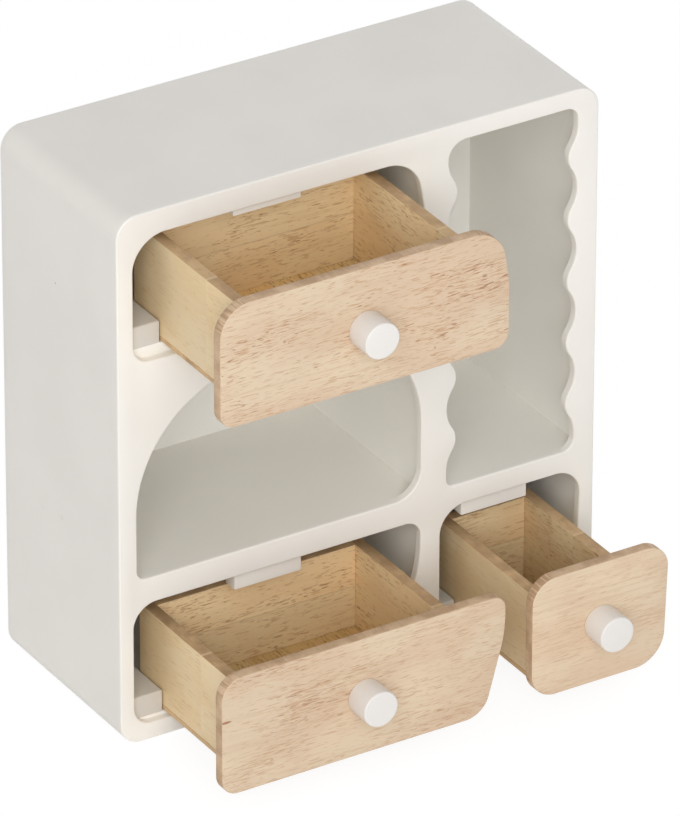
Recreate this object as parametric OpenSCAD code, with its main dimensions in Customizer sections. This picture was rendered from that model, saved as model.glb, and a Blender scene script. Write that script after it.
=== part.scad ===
// Desktop cabinet with three pull-out drawers and two open compartments.
// The origin is the centre of the cabinet's bottom face: +X to its right seen
// from the front, +Y to its back, +Z up. Lengths are in millimetres.

/* [Casing] */
// Width of the cabinet
case_w = 250; // [236:1:320]
// Depth of the cabinet, without the drawers and knobs
case_d = 102; // [90:1:150]
// Height of the cabinet
case_h = 268; // [250:1:340]
// Radius of the four outer corners, seen from the front
corner_r = 11; // [10:0.5:16]
// Thickness of the two side panels
side_t = 6; // [5:0.5:9]
// Thickness of the top panel
top_t = 8; // [6:0.5:10]
// Thickness of the base panel
base_t = 10; // [7:0.5:10]
// Thickness of the front plate with the openings
plate_t = 4; // [3:0.5:6]
// Thickness of the back panel
back_t = 4; // [3:0.5:6]
// Thickness of the divider between the left and the right bays
divider_t = 6; // [4:0.5:9]
// Thickness of the three shelves
shelf_t = 6; // [4:0.5:9]

/* [Bays] */
// Width of the left bays, from side panel to divider
left_bay_w = 153; // [135:1:160]
// Height of the two bottom bays, from base panel to shelf
lower_bay_h = 67.5; // [62:0.5:76]
// Height of the top left bay, from shelf to top panel
upper_bay_h = 61; // [58:0.5:72]

/* [Upper drawer opening] */
// Plate left standing in front of the bay at the left side
upper_lip_left = 2.3; // [0:0.1:5]
// Plate left standing in front of the bay at the right side
upper_lip_right = 0.2; // [0:0.1:5]
// Plate left standing below the top panel
upper_lip_top = 4; // [0:0.1:6]
// Drop of the opening's lower edge below the top face of its shelf
upper_cut_below = 5.5; // [0:0.1:5.5]
// Corner radii: bottom left, bottom right, top right, top left
upper_radii = [9, 9, 18, 17]; // [4:0.5:20]
// Distance of the shoulder, where the right side starts to lean in, below the top
upper_shoulder_drop = 28; // [26:0.5:40]
// Distance that the right side leans in, from the shoulder to the top
upper_shoulder_in = 4.5; // [0:0.5:8]
// Radius that rounds the shoulder
upper_shoulder_r = 60; // [20:1:80]

/* [Lower drawer opening] */
// Plate left standing in front of the bay at the left side
lower_lip_left = 1.2; // [0:0.1:5]
// Plate left standing in front of the bay at the right side
lower_lip_right = 1.5; // [0:0.1:5]
// Plate left standing below the shelf
lower_lip_top = 7; // [0:0.1:9]
// Drop of the opening's lower edge below the top face of the base panel
lower_cut_below = 1.5; // [0.4:0.1:3]
// Corner radii: bottom left, bottom right, top right, top left
lower_radii = [9.5, 14, 8, 12]; // [4:0.5:16]
// Distance of the shoulder, where the right side starts to lean in, below the top
lower_shoulder_drop = 20.5; // [20:0.5:30]
// Distance that the right side leans in, from the shoulder to the bottom
lower_shoulder_in = 11.3; // [0:0.1:12]
// Radius that rounds the shoulder
lower_shoulder_r = 70; // [20:1:75]

/* [Small drawer opening] */
// Plate left standing in front of the bay at the left side
small_lip_left = 2.9; // [0:0.1:5]
// Plate left standing in front of the bay at the right side
small_lip_right = 0.7; // [0:0.1:5]
// Plate left standing below the shelf
small_lip_top = 4.7; // [0:0.1:7]
// Drop of the opening's lower edge below the top face of the base panel
small_cut_below = 0.7; // [0.4:0.1:3]
// Corner radii: bottom left, bottom right, top right, top left
small_radii = [14, 17, 13, 14]; // [4:0.5:18]
// Distance that the right side leans in, from the top to the bottom
small_lean_in = 2.5; // [0:0.5:5]

/* [Arched compartment] */
// Plate left standing in front of the bay at the left side
arch_lip_left = 3.2; // [0:0.1:5]
// Plate left standing in front of the bay at the right side
arch_lip_right = 1.5; // [0:0.1:5]
// Plate left standing below the shelf above
arch_lip_top = 14.5; // [4:0.5:20]
// Corner radii: bottom left, bottom right, top right, top left
arch_radii = [5, 14, 57, 63]; // [4:0.5:64]

/* [Wavy compartment] */
// Plate left standing in front of the bay at the left side, at a trough
wavy_lip_left = 6.2; // [0:0.1:10]
// Plate left standing in front of the bay at the right side, at a trough
wavy_lip_right = 4.8; // [0:0.1:10]
// Plate left standing below the top panel
wavy_lip_top = 1; // [0:0.1:6]
// Corner radii: bottom left, bottom right, top right, top left
wavy_radii = [4, 6, 6, 9]; // [2:0.5:9]
// Number of wave crests on each side
wave_count = 5; // [3:1:7]
// Height of a crest over the troughs beside it
wave_rise = 4.8; // [2:0.1:6]
// Share of a wave's two radii that its crest takes
wave_crest_share = 0.37; // [0.25:0.01:0.6]
// Height of the first trough above the shelf
wave_foot = 8.4; // [6:0.1:12]
// Distance of the last trough below the opening's top edge
wave_head = 9.3; // [9:0.1:12]

/* [Drawers] */
// Gap all round between a drawer's front and its opening
front_gap = 1.3; // [0.5:0.1:2]
// Thickness of the drawers' front panels
front_t = 6; // [4:0.5:9]
// Thickness of the drawers' side and back boards
board_t = 6; // [4:0.5:8]
// Thickness of the drawers' bottom sheets
sheet_t = 2.5; // [1.5:0.1:4]
// Gap left behind a closed drawer
back_gap = 1; // [0.5:0.1:5]
// Gap between a drawer's box and a guide rail
side_gap = 0.4; // [0.2:0.1:1]
// Gap between a drawer and the board that it slides on
run_gap = 0.3; // [0.1:0.1:0.5]
// Gap between a closed drawer's front and the stop strip
seat_gap = 0.2; // [0:0.1:0.5]
// Distance that the upper drawer is pulled out
upper_pull = 70; // [0:0.5:77]
// Distance that the lower drawer is pulled out
lower_pull = 72; // [0:0.5:77]
// Distance that the small drawer is pulled out
small_pull = 74; // [0:0.5:77]

/* [Rails and stops] */
// Width of the guide rails beside the two wide drawers
wide_rail_w = 18.1; // [10:0.1:24]
// Width of the guide rails beside the small drawer
small_rail_w = 13.6; // [6:0.1:20]
// Height of the guide rails
rail_h = 10.8; // [6:0.1:16]
// Thickness of the stop strips, front to back
stop_t = 8; // [5:0.5:10]
// Width of the stop strips
stop_w = 35; // [20:0.5:45]
// Offset of the two wide drawers' stop strips from the middle of their bay
wide_stop_shift = -3.2; // [-12:0.1:12]
// Offset of the small drawer's stop strip from the middle of its bay
small_stop_shift = -5.5; // [-12:0.1:12]
// Drop of the upper drawer's stop strip below the opening's upper edge
upper_stop_drop = 5; // [2.5:0.1:6]
// Drop of the lower drawer's stop strip below the opening's upper edge
lower_stop_drop = 9.5; // [4:0.1:12]
// Drop of the small drawer's stop strip below the opening's upper edge
small_stop_drop = 9; // [4:0.1:12]
// Clear height between the upper drawer's box and its stop strip
upper_headroom = 2.7; // [1:0.1:8]
// Clear height between the lower drawer's box and its stop strip
lower_headroom = 5.7; // [1:0.1:12]
// Clear height between the small drawer's box and its stop strip
small_headroom = 9.2; // [1:0.1:14]

/* [Knobs] */
// Diameter of the knobs
knob_d = 17.5; // [14:0.5:24]
// Length of the knobs
knob_len = 14; // [12:0.5:20]
// Radius of the rounded edge of a knob's face
knob_edge_r = 0.8; // [0.4:0.1:2.5]
// Diameter of the knob screws
screw_d = 4; // [3:0.5:5]
// Depth that a knob screw reaches into its knob
screw_grip = 9; // [6:0.5:10]
// Diameter of the knob screws' heads
screw_head_d = 8; // [7:0.5:10]
// Height of the knob screws' heads
screw_head_h = 2.4; // [1.6:0.1:3]
// Radial gap between a knob screw and the hole in the front panel
screw_gap = 0.25; // [0.1:0.05:0.5]

/* [Hidden] */
// Outer faces of the casing
left_x = -case_w / 2;
right_x = case_w / 2;
front_y = -case_d / 2;
back_y = case_d / 2;

// Inner faces of the casing
plate_back_y = front_y + plate_t;
inner_back_y = back_y - back_t;
inner_y = [plate_back_y, inner_back_y];
ceiling_z = case_h - top_t;

// Bays, each as its range along X, and the faces of the shelves
left_bay = [left_x + side_t, left_x + side_t + left_bay_w];
right_bay = [left_bay[1] + divider_t, right_x - side_t];
lower_shelf_z = [base_t + lower_bay_h, base_t + lower_bay_h + shelf_t];
upper_shelf_z = [ceiling_z - upper_bay_h - shelf_t, ceiling_z - upper_bay_h];

// Radial room for the thread in a knob's hole, and depth left below the screw
thread_gap = 0.05;
hole_spare = 1;
// Reach of a cut past the face that it leaves
through = 1;
// Straight steps in each rounded corner, and in each arc of a wave
corner_steps = 24;
wave_steps = 12;
knob_edge_steps = 8;
$fn = 96;

// Colours
PAINT = [0.88, 0.86, 0.83];
WOOD = [0.87, 0.77, 0.65];
SHEET = [0.72, 0.60, 0.45];
STEEL = [0.62, 0.62, 0.64];

// Corners of an upright outline, counter-clockwise from the bottom left, each
// one as [x, z, radius of its rounding]
CASE = [
    [left_x, 0, corner_r],
    [right_x, 0, corner_r],
    [right_x, case_h, corner_r],
    [left_x, case_h, corner_r]
];

function upper_corners(
    x0 = left_bay[0] + upper_lip_left,
    x1 = left_bay[1] - upper_lip_right,
    z0 = upper_shelf_z[1] - upper_cut_below,
    z1 = ceiling_z - upper_lip_top
) = [
    [x0, z0, upper_radii[0]],
    [x1, z0, upper_radii[1]],
    [x1, z1 - upper_shoulder_drop, upper_shoulder_r],
    [x1 - upper_shoulder_in, z1, upper_radii[2]],
    [x0, z1, upper_radii[3]]
];

function lower_corners(
    x0 = left_bay[0] + lower_lip_left,
    x1 = left_bay[1] - lower_lip_right,
    z0 = base_t - lower_cut_below,
    z1 = lower_shelf_z[0] - lower_lip_top
) = [
    [x0, z0, lower_radii[0]],
    [x1 - lower_shoulder_in, z0, lower_radii[1]],
    [x1, z1 - lower_shoulder_drop, lower_shoulder_r],
    [x1, z1, lower_radii[2]],
    [x0, z1, lower_radii[3]]
];

function small_corners(
    x0 = right_bay[0] + small_lip_left,
    x1 = right_bay[1] - small_lip_right,
    z0 = base_t - small_cut_below,
    z1 = lower_shelf_z[0] - small_lip_top
) = [
    [x0, z0, small_radii[0]],
    [x1 - small_lean_in, z0, small_radii[1]],
    [x1, z1, small_radii[2]],
    [x0, z1, small_radii[3]]
];

function arch_corners(
    x0 = left_bay[0] + arch_lip_left,
    x1 = left_bay[1] - arch_lip_right,
    z0 = lower_shelf_z[1],
    z1 = upper_shelf_z[0] - arch_lip_top
) = [
    [x0, z0, arch_radii[0]],
    [x1, z0, arch_radii[1]],
    [x1, z1, arch_radii[2]],
    [x0, z1, arch_radii[3]]
];

// A drawer: bay, opening, floor height, rail width, pull, offset and drop of
// its stop strip, and headroom over its box
UPPER = [
    left_bay, upper_corners(), upper_shelf_z[1], wide_rail_w,
    upper_pull, wide_stop_shift, upper_stop_drop, upper_headroom
];
LOWER = [
    left_bay, lower_corners(), base_t, wide_rail_w,
    lower_pull, wide_stop_shift, lower_stop_drop, lower_headroom
];
SMALL = [
    right_bay, small_corners(), base_t, small_rail_w,
    small_pull, small_stop_shift, small_stop_drop, small_headroom
];

function bay(d) = d[0];
function opening(d) = d[1];
function floor_z(d) = d[2];
function rail_w(d) = d[3];
function opening_top(d) = max([for (corner = opening(d)) corner[1]]);
function opening_bottom(d) = min([for (corner = opening(d)) corner[1]]);
function opening_left(d) = min([for (corner = opening(d)) corner[0]]);
function opening_right(d) = max([for (corner = opening(d)) corner[0]]);
function ceiling(d) = floor_z(d) == base_t ? lower_shelf_z[0] : ceiling_z;

// Stop strip: middle along X and lower face
function stop_x(d) = (bay(d)[0] + bay(d)[1]) / 2 + d[5];
function stop_bottom(d) = opening_top(d) - d[6];

// Drawer box: range along X, Y and Z, the front panel's inner face being its
// front end, and the middle of the front panel
function box_x(d) = [
    bay(d)[0] + rail_w(d) + side_gap,
    bay(d)[1] - rail_w(d) - side_gap
];
function box_y(d) = [
    plate_back_y - seat_gap - d[4],
    inner_back_y - back_gap - d[4]
];
function box_z(d) = [floor_z(d) + run_gap, stop_bottom(d) - d[7]];
function front_middle(d) = [
    (opening_left(d) + opening_right(d)) / 2,
    (opening_bottom(d) + opening_top(d)) / 2
];

// Outlines
function unit(v) = v / norm(v);
function point(corner) = [corner[0], corner[1]];
function inward(a, b) = let (along = unit(point(b) - point(a))) [-along[1], along[0]];

// Corners of the outline that runs a distance inside another
function inset(corners, distance) = [
    for (i = [0 : len(corners) - 1])
        let (
            last = corners[(i + len(corners) - 1) % len(corners)],
            this = corners[i],
            next = corners[(i + 1) % len(corners)],
            a = inward(last, this),
            b = inward(this, next),
            moved = point(this) + distance * (a + b) / (1 + a * b)
        )
        [moved[0], moved[1], this[2] - distance]
];

// Points of an arc after its first one
function arc(centre, r, from, to, steps) = [
    for (i = [1 : steps])
        let (angle = from + (to - from) * i / steps)
        centre + r * [cos(angle), sin(angle)]
];

// Arc that rounds an outline's corner
function rounding(last, this, next) =
    let (
        back = unit(point(last) - point(this)),
        on = unit(point(next) - point(this)),
        half = acos(back * on) / 2,
        centre = point(this) + this[2] / sin(half) * unit(back + on),
        start = point(this) + this[2] / tan(half) * back - centre,
        from = atan2(start[1], start[0])
    )
    concat([centre + start], arc(centre, this[2], from, from + 180 - 2 * half, corner_steps));

function rounded(corners) = [
    for (i = [0 : len(corners) - 1])
        each rounding(
            corners[(i + len(corners) - 1) % len(corners)],
            corners[i],
            corners[(i + 1) % len(corners)]
        )
];

// Wavy opening: troughs and crests are arcs that meet at a common tangent
wavy_x = [right_bay[0] + wavy_lip_left, right_bay[1] - wavy_lip_right];
wavy_z = [lower_shelf_z[1], ceiling_z - wavy_lip_top];
wave_z = [wavy_z[0] + wave_foot, wavy_z[1] - wave_head];
wave_pitch = (wave_z[1] - wave_z[0]) / wave_count;
wave_radii = (pow(wave_rise, 2) + pow(wave_pitch / 2, 2)) / (2 * wave_rise);
crest_r = wave_crest_share * wave_radii;
trough_r = wave_radii - crest_r;
wave_angle = asin(wave_pitch / 2 / wave_radii);

// Right side of the wavy opening, going up
function wave_side() = [
    for (i = [0 : wave_count])
        let (
            trough = [wavy_x[1] - trough_r, wave_z[0] + i * wave_pitch],
            crest = trough + [wave_radii - wave_rise, wave_pitch / 2],
            from = i == 0 ? 0 : -wave_angle,
            to = i == wave_count ? 0 : wave_angle
        )
        each concat(
            i == 0 ? [trough + [trough_r, 0]] : [],
            arc(trough, trough_r, from, to, wave_steps),
            i < wave_count
                ? arc(crest, crest_r, 180 + wave_angle, 180 - wave_angle, wave_steps)
                : []
        )
];

// A run of points mirrored to the left side, going down
function mirrored(points) = [
    for (i = [len(points) - 1 : -1 : 0])
        [wavy_x[0] + wavy_x[1] - points[i][0], points[i][1]]
];

function wavy_corner(i) =
    let (
        x = [wavy_x[0], wavy_x[1], wavy_x[1], wavy_x[0]],
        z = [wavy_z[0], wavy_z[0], wavy_z[1], wavy_z[1]],
        corners = [for (k = [0 : 3]) [x[k], z[k], wavy_radii[k]]]
    )
    rounding(corners[(i + 3) % 4], corners[i], corners[(i + 1) % 4]);

// Building blocks
module block(x, y, z)
    translate([x[0], y[0], z[0]])
        cube([x[1] - x[0], y[1] - y[0], z[1] - z[0]]);

// Upright plate of an outline drawn in X and Z
module upright(y)
    translate([0, y[1], 0])
        rotate([90, 0, 0])
            linear_extrude(y[1] - y[0])
                children();

// Board of the casing, rounded where it reaches the outer corners
module casing_board(x, z)
    intersection() {
        upright(inner_y) polygon(rounded(CASE));
        block(x, inner_y, z);
    }

module wavy_outline()
    polygon(concat(
        wavy_corner(0), wavy_corner(1), wave_side(),
        wavy_corner(2), wavy_corner(3), mirrored(wave_side())
    ));

// Parts that every drawer has, with side being 0 for left and 1 for right
module guide_rail(d, side)
    let (outer = bay(d)[side], inner = outer + (1 - 2 * side) * rail_w(d))
    block(
        [min(outer, inner), max(outer, inner)], inner_y,
        [floor_z(d), floor_z(d) + rail_h]
    );

module stop_strip(d)
    block(
        [stop_x(d) - stop_w / 2, stop_x(d) + stop_w / 2],
        [plate_back_y, plate_back_y + stop_t],
        [stop_bottom(d), ceiling(d)]
    );

module front_panel(d)
    let (y = box_y(d)[0])
    difference() {
        upright([y - front_t, y]) polygon(rounded(inset(opening(d), front_gap)));
        translate([front_middle(d)[0], y + through, front_middle(d)[1]])
            rotate([90, 0, 0])
                cylinder(h = front_t + 2 * through, r = screw_d / 2 + screw_gap);
    }

module side_board(d, side)
    let (outer = box_x(d)[side], inner = outer + (1 - 2 * side) * board_t)
    block(
        [min(outer, inner), max(outer, inner)], box_y(d),
        [box_z(d)[0] + sheet_t, box_z(d)[1]]
    );

module back_board(d)
    block(
        [box_x(d)[0] + board_t, box_x(d)[1] - board_t],
        [box_y(d)[1] - board_t, box_y(d)[1]],
        [box_z(d)[0] + sheet_t, box_z(d)[1]]
    );

module bottom_sheet(d)
    block(box_x(d), box_y(d), [box_z(d)[0], box_z(d)[0] + sheet_t]);

// Knob with its blind screw hole, standing on the front panel
module knob(d)
    translate([front_middle(d)[0], box_y(d)[0] - front_t, front_middle(d)[1]])
        rotate([90, 0, 0])
            difference() {
                rotate_extrude()
                    polygon(concat(
                        [[0, 0], [knob_d / 2, 0], [knob_d / 2, knob_len - knob_edge_r]],
                        arc(
                            [knob_d / 2 - knob_edge_r, knob_len - knob_edge_r],
                            knob_edge_r, 0, 90, knob_edge_steps
                        ),
                        [[0, knob_len]]
                    ));
                translate([0, 0, -through])
                    cylinder(h = screw_grip + hole_spare + through, r = screw_d / 2 + thread_gap);
            }

// Pan head screw, its head on the inner face of the front panel
module knob_screw(d)
    translate([front_middle(d)[0], box_y(d)[0], front_middle(d)[1]])
        rotate([90, 0, 0]) {
            cylinder(h = front_t + screw_grip, r = screw_d / 2);
            translate([0, 0, -screw_head_h])
                cylinder(h = screw_head_h, r = screw_head_d / 2);
        }

// Casing
module front_plate()
    color(PAINT)
        upright([front_y, plate_back_y])
            difference() {
                polygon(rounded(CASE));
                for (d = [UPPER, LOWER, SMALL])
                    polygon(rounded(opening(d)));
                polygon(rounded(arch_corners()));
                wavy_outline();
            }

module back_panel()
    color(PAINT) upright([inner_back_y, back_y]) polygon(rounded(CASE));

module top_panel()
    color(PAINT) casing_board([left_x, right_x], [ceiling_z, case_h]);

module base_panel()
    color(PAINT) casing_board([left_x, right_x], [0, base_t]);

module left_side_panel()
    color(PAINT) casing_board([left_x, left_bay[0]], [base_t, ceiling_z]);

module right_side_panel()
    color(PAINT) casing_board([right_bay[1], right_x], [base_t, ceiling_z]);

module divider()
    color(PAINT) block([left_bay[1], right_bay[0]], inner_y, [base_t, ceiling_z]);

module upper_shelf()
    color(PAINT) block(left_bay, inner_y, upper_shelf_z);

module lower_left_shelf()
    color(PAINT) block(left_bay, inner_y, lower_shelf_z);

module lower_right_shelf()
    color(PAINT) block(right_bay, inner_y, lower_shelf_z);

// Guide rails and stop strips
module upper_left_rail() color(PAINT) guide_rail(UPPER, 0);
module upper_right_rail() color(PAINT) guide_rail(UPPER, 1);
module lower_left_rail() color(PAINT) guide_rail(LOWER, 0);
module lower_right_rail() color(PAINT) guide_rail(LOWER, 1);
module small_left_rail() color(PAINT) guide_rail(SMALL, 0);
module small_right_rail() color(PAINT) guide_rail(SMALL, 1);
module upper_stop() color(PAINT) stop_strip(UPPER);
module lower_stop() color(PAINT) stop_strip(LOWER);
module small_stop() color(PAINT) stop_strip(SMALL);

// Upper drawer
module upper_front() color(WOOD) front_panel(UPPER);
module upper_left_board() color(WOOD) side_board(UPPER, 0);
module upper_right_board() color(WOOD) side_board(UPPER, 1);
module upper_back_board() color(WOOD) back_board(UPPER);
module upper_bottom_sheet() color(SHEET) bottom_sheet(UPPER);
module upper_knob() color(PAINT) knob(UPPER);
module upper_knob_screw() color(STEEL) knob_screw(UPPER);

// Lower drawer
module lower_front() color(WOOD) front_panel(LOWER);
module lower_left_board() color(WOOD) side_board(LOWER, 0);
module lower_right_board() color(WOOD) side_board(LOWER, 1);
module lower_back_board() color(WOOD) back_board(LOWER);
module lower_bottom_sheet() color(SHEET) bottom_sheet(LOWER);
module lower_knob() color(PAINT) knob(LOWER);
module lower_knob_screw() color(STEEL) knob_screw(LOWER);

// Small drawer
module small_front() color(WOOD) front_panel(SMALL);
module small_left_board() color(WOOD) side_board(SMALL, 0);
module small_right_board() color(WOOD) side_board(SMALL, 1);
module small_back_board() color(WOOD) back_board(SMALL);
module small_bottom_sheet() color(SHEET) bottom_sheet(SMALL);
module small_knob() color(PAINT) knob(SMALL);
module small_knob_screw() color(STEEL) knob_screw(SMALL);

front_plate();
back_panel();
top_panel();
base_panel();
left_side_panel();
right_side_panel();
divider();
upper_shelf();
lower_left_shelf();
lower_right_shelf();
upper_left_rail();
upper_right_rail();
lower_left_rail();
lower_right_rail();
small_left_rail();
small_right_rail();
upper_stop();
lower_stop();
small_stop();
upper_front();
upper_left_board();
upper_right_board();
upper_back_board();
upper_bottom_sheet();
upper_knob();
upper_knob_screw();
lower_front();
lower_left_board();
lower_right_board();
lower_back_board();
lower_bottom_sheet();
lower_knob();
lower_knob_screw();
small_front();
small_left_board();
small_right_board();
small_back_board();
small_bottom_sheet();
small_knob();
small_knob_screw();
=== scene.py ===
"""Looks of a desktop cabinet with pull-out drawers and two open compartments.

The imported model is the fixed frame. The boards, rails, knobs and screws are
modelled here with soft edges on the places that the frame gives, and dressed
with satin paint, plain-sawn wood and zinc plated steel.
"""

import logging
import math
from dataclasses import dataclass, replace
from enum import Enum
from typing import Callable, Iterable, Sequence, Union

import bmesh
import bpy
from bmesh.types import BMEdge, BMesh, BMFace, BMVert
from bpy.types import Material, Object
from mathutils import Matrix, Vector

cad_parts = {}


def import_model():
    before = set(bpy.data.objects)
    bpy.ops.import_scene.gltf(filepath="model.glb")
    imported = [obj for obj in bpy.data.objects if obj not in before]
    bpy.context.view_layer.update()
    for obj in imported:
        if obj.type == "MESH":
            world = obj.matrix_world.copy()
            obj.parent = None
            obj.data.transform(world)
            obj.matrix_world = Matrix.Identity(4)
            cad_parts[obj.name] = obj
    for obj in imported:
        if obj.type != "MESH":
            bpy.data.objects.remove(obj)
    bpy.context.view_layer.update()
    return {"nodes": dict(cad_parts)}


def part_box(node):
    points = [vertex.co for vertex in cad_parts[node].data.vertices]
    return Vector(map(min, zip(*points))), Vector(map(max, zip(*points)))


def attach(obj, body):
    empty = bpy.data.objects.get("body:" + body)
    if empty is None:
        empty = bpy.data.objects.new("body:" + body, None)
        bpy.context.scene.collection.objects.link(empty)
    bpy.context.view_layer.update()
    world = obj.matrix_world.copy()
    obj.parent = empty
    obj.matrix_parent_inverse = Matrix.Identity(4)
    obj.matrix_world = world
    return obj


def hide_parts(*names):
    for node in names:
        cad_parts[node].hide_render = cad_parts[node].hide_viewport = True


LOG = logging.getLogger("cabinet")

MM = 0.001

# Points this close, in metres, are one point
WELD = 1e-6
# Least dot product of two directions that count as the same
SAME_WAY = 0.999
SMOOTH_ANGLE = math.radians(28)
INHERITED_LAYERS = ("custom_normal", "sharp_edge", "sharp_face")

LEFT, RIGHT = Vector((-1.0, 0.0, 0.0)), Vector((1.0, 0.0, 0.0))
FRONT, BACK = Vector((0.0, -1.0, 0.0)), Vector((0.0, 1.0, 0.0))
DOWN, UP = Vector((0.0, 0.0, -1.0)), Vector((0.0, 0.0, 1.0))

Colour = tuple[float, float, float]
Point = tuple[float, float, float]
Profile = list[tuple[float, float]]


class Axis(Enum):
    """The three axes of the frame."""

    X = 0
    Y = 1
    Z = 2


# -------------------- shader maths


@dataclass(frozen=True)
class Value:
    """A shader output that takes part in Python arithmetic.

    Args:
        shader: The node tree that the output belongs to.
        socket: The output socket itself.
    """

    shader: "Shader"
    socket: bpy.types.NodeSocket

    def __add__(self, other: Union["Value", float]) -> "Value":
        """Sum."""
        return self.shader.math("ADD", self, other)

    def __sub__(self, other: Union["Value", float]) -> "Value":
        """Difference."""
        return self.shader.math("SUBTRACT", self, other)

    def __rsub__(self, other: float) -> "Value":
        """Difference from a number."""
        return self.shader.math("SUBTRACT", other, self)

    def __mul__(self, other: Union["Value", float]) -> "Value":
        """Product."""
        return self.shader.math("MULTIPLY", self, other)

    def between(self, low: float, high: float) -> "Value":
        """Smooth step: 0 below low, 1 above high, and a smooth rise between them."""
        inputs = {"Value": self, "From Min": low, "From Max": high}
        node = self.shader.node("MapRange", inputs, interpolation_type="SMOOTHSTEP")
        return node["Result"]


@dataclass(frozen=True)
class Outputs:
    """The outputs of one node, by name or by number."""

    shader: "Shader"
    node: bpy.types.Node

    def __getitem__(self, key: Union[str, int]) -> Value:
        """One output as a value."""
        return Value(self.shader, self.node.outputs[key])


class Shader:
    """The nodes of a material or of the world, under construction.

    Args:
        owner: The material or world.
    """

    MIX_FACTOR, MIX_A, MIX_B, MIX_RESULT = 0, 6, 7, 2

    def __init__(self, owner: Union[Material, bpy.types.World]) -> None:
        """Starts with no nodes at all."""
        owner.use_nodes = True
        self.owner = owner
        self.tree = owner.node_tree
        self.tree.nodes.clear()

    @classmethod
    def of(cls, name: str) -> "Shader":
        """The empty shader of a new material."""
        return cls(bpy.data.materials.new(name))

    def node(self, kind: str, inputs: Iterable = (), **settings: str) -> Outputs:
        """Adds a node.

        Args:
            kind: The node's type, without the start that all types share.
            inputs: Numbers, colours or values by socket name or number.
            settings: Its properties, set before its sockets.

        Returns:
            The node's outputs.
        """
        node = self.tree.nodes.new("ShaderNode" + kind)
        for name, value in settings.items():
            setattr(node, name, value)
        for key, value in dict(inputs).items():
            if isinstance(value, Value):
                self.tree.links.new(value.socket, node.inputs[key])
            else:
                node.inputs[key].default_value = value
        return Outputs(self, node)

    def math(self, operation: str, *operands: Union[Value, float]) -> Value:
        """The result of a Math node on its operands, in their order."""
        return self.node("Math", enumerate(operands), operation=operation)[0]

    def vector_math(self, operation: str, *operands: Union[Value, Point]) -> Outputs:
        """The outputs of a Vector Math node on its operands, in their order."""
        return self.node("VectorMath", enumerate(operands), operation=operation)

    def place(self, scale: Sequence[float], offset: Sequence[float]) -> Value:
        """Object coordinates in pattern units, so many per millimetre, and moved."""
        inputs = {
            "Vector": self.node("TexCoord")["Object"],
            "Location": tuple(offset),
            "Scale": tuple(s / MM for s in scale),
        }
        return self.node("Mapping", inputs)["Vector"]

    def noise(self, vector: Value, detail: float = 2.0) -> Value:
        """Noise of scale 1 on a vector, from 0 to 1, with octaves of finer noise."""
        inputs = {"Vector": vector, "Scale": 1.0, "Detail": detail}
        return self.node("TexNoise", inputs)["Fac"]

    def even_noise(
        self, per_mm: float, offset: Point = (0.0, 0.0, 0.0), detail: float = 2.0
    ) -> Value:
        """Noise with the same number of cells per millimetre along all axes."""
        return self.noise(self.place([per_mm] * 3, offset), detail)

    def mix(
        self,
        factor: Union[Value, float],
        first: Union[Value, Colour],
        second: Union[Value, Colour],
        blend: str = "MIX",
    ) -> Value:
        """Two colours mixed, the factor being the share of the second one."""
        one, two = (v if isinstance(v, Value) else (*v, 1.0) for v in (first, second))
        inputs = {self.MIX_FACTOR: factor, self.MIX_A: one, self.MIX_B: two}
        node = self.node("Mix", inputs, data_type="RGBA", blend_type=blend)
        return node[self.MIX_RESULT]

    def spot(self, centre_mm: Point, half_mm: Point, core: float) -> Value:
        """Mask of an ellipsoid, 1 in its core and falling to 0 at its rim."""
        scale = [1.0 / half for half in half_mm]
        offset = [-c / half for c, half in zip(centre_mm, half_mm)]
        length = self.vector_math("LENGTH", self.place(scale, offset))["Value"]
        return 1.0 - length.between(core, 1.0)

    def bump(self, height: Value, strength: float, depth_mm: float) -> Value:
        """Normal from a height that runs from 0 to 1 over the given depth."""
        inputs = {"Height": height, "Strength": strength, "Distance": depth_mm * MM}
        return self.node("Bump", inputs)["Normal"]

    def finish(self, **sockets: object) -> Material:
        """Adds the surface, whose sockets are named with _ for spaces."""
        inputs = {name.replace("_", " "): value for name, value in sockets.items()}
        surface = self.node("BsdfPrincipled", inputs)["BSDF"]
        self.node("OutputMaterial", {"Surface": surface})
        return self.owner


def seeded_shift(seed: int, steps: Point, span: float) -> Point:
    """Shift of a pattern, within a span, that sets one seed apart from the next."""
    return tuple(seed * step % span for step in steps)


# ------------------------ finishes


@dataclass(frozen=True)
class Mark:
    """A small mark on a face, such as a filled spot in paint or a knot in wood.

    Args:
        centre_mm: Its middle in the frame.
        half_mm: Half its size along X, Y and Z.
        share: How much of the mark's colour it takes.
    """

    centre_mm: Point
    half_mm: Point
    share: float

    # Share of the mark's radius inside which it is full
    CORE = 0.55

    def mask(self, shader: Shader) -> Value:
        """Where the mark shows, soft at its rim."""
        return shader.spot(self.centre_mm, self.half_mm, self.CORE) * self.share


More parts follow.
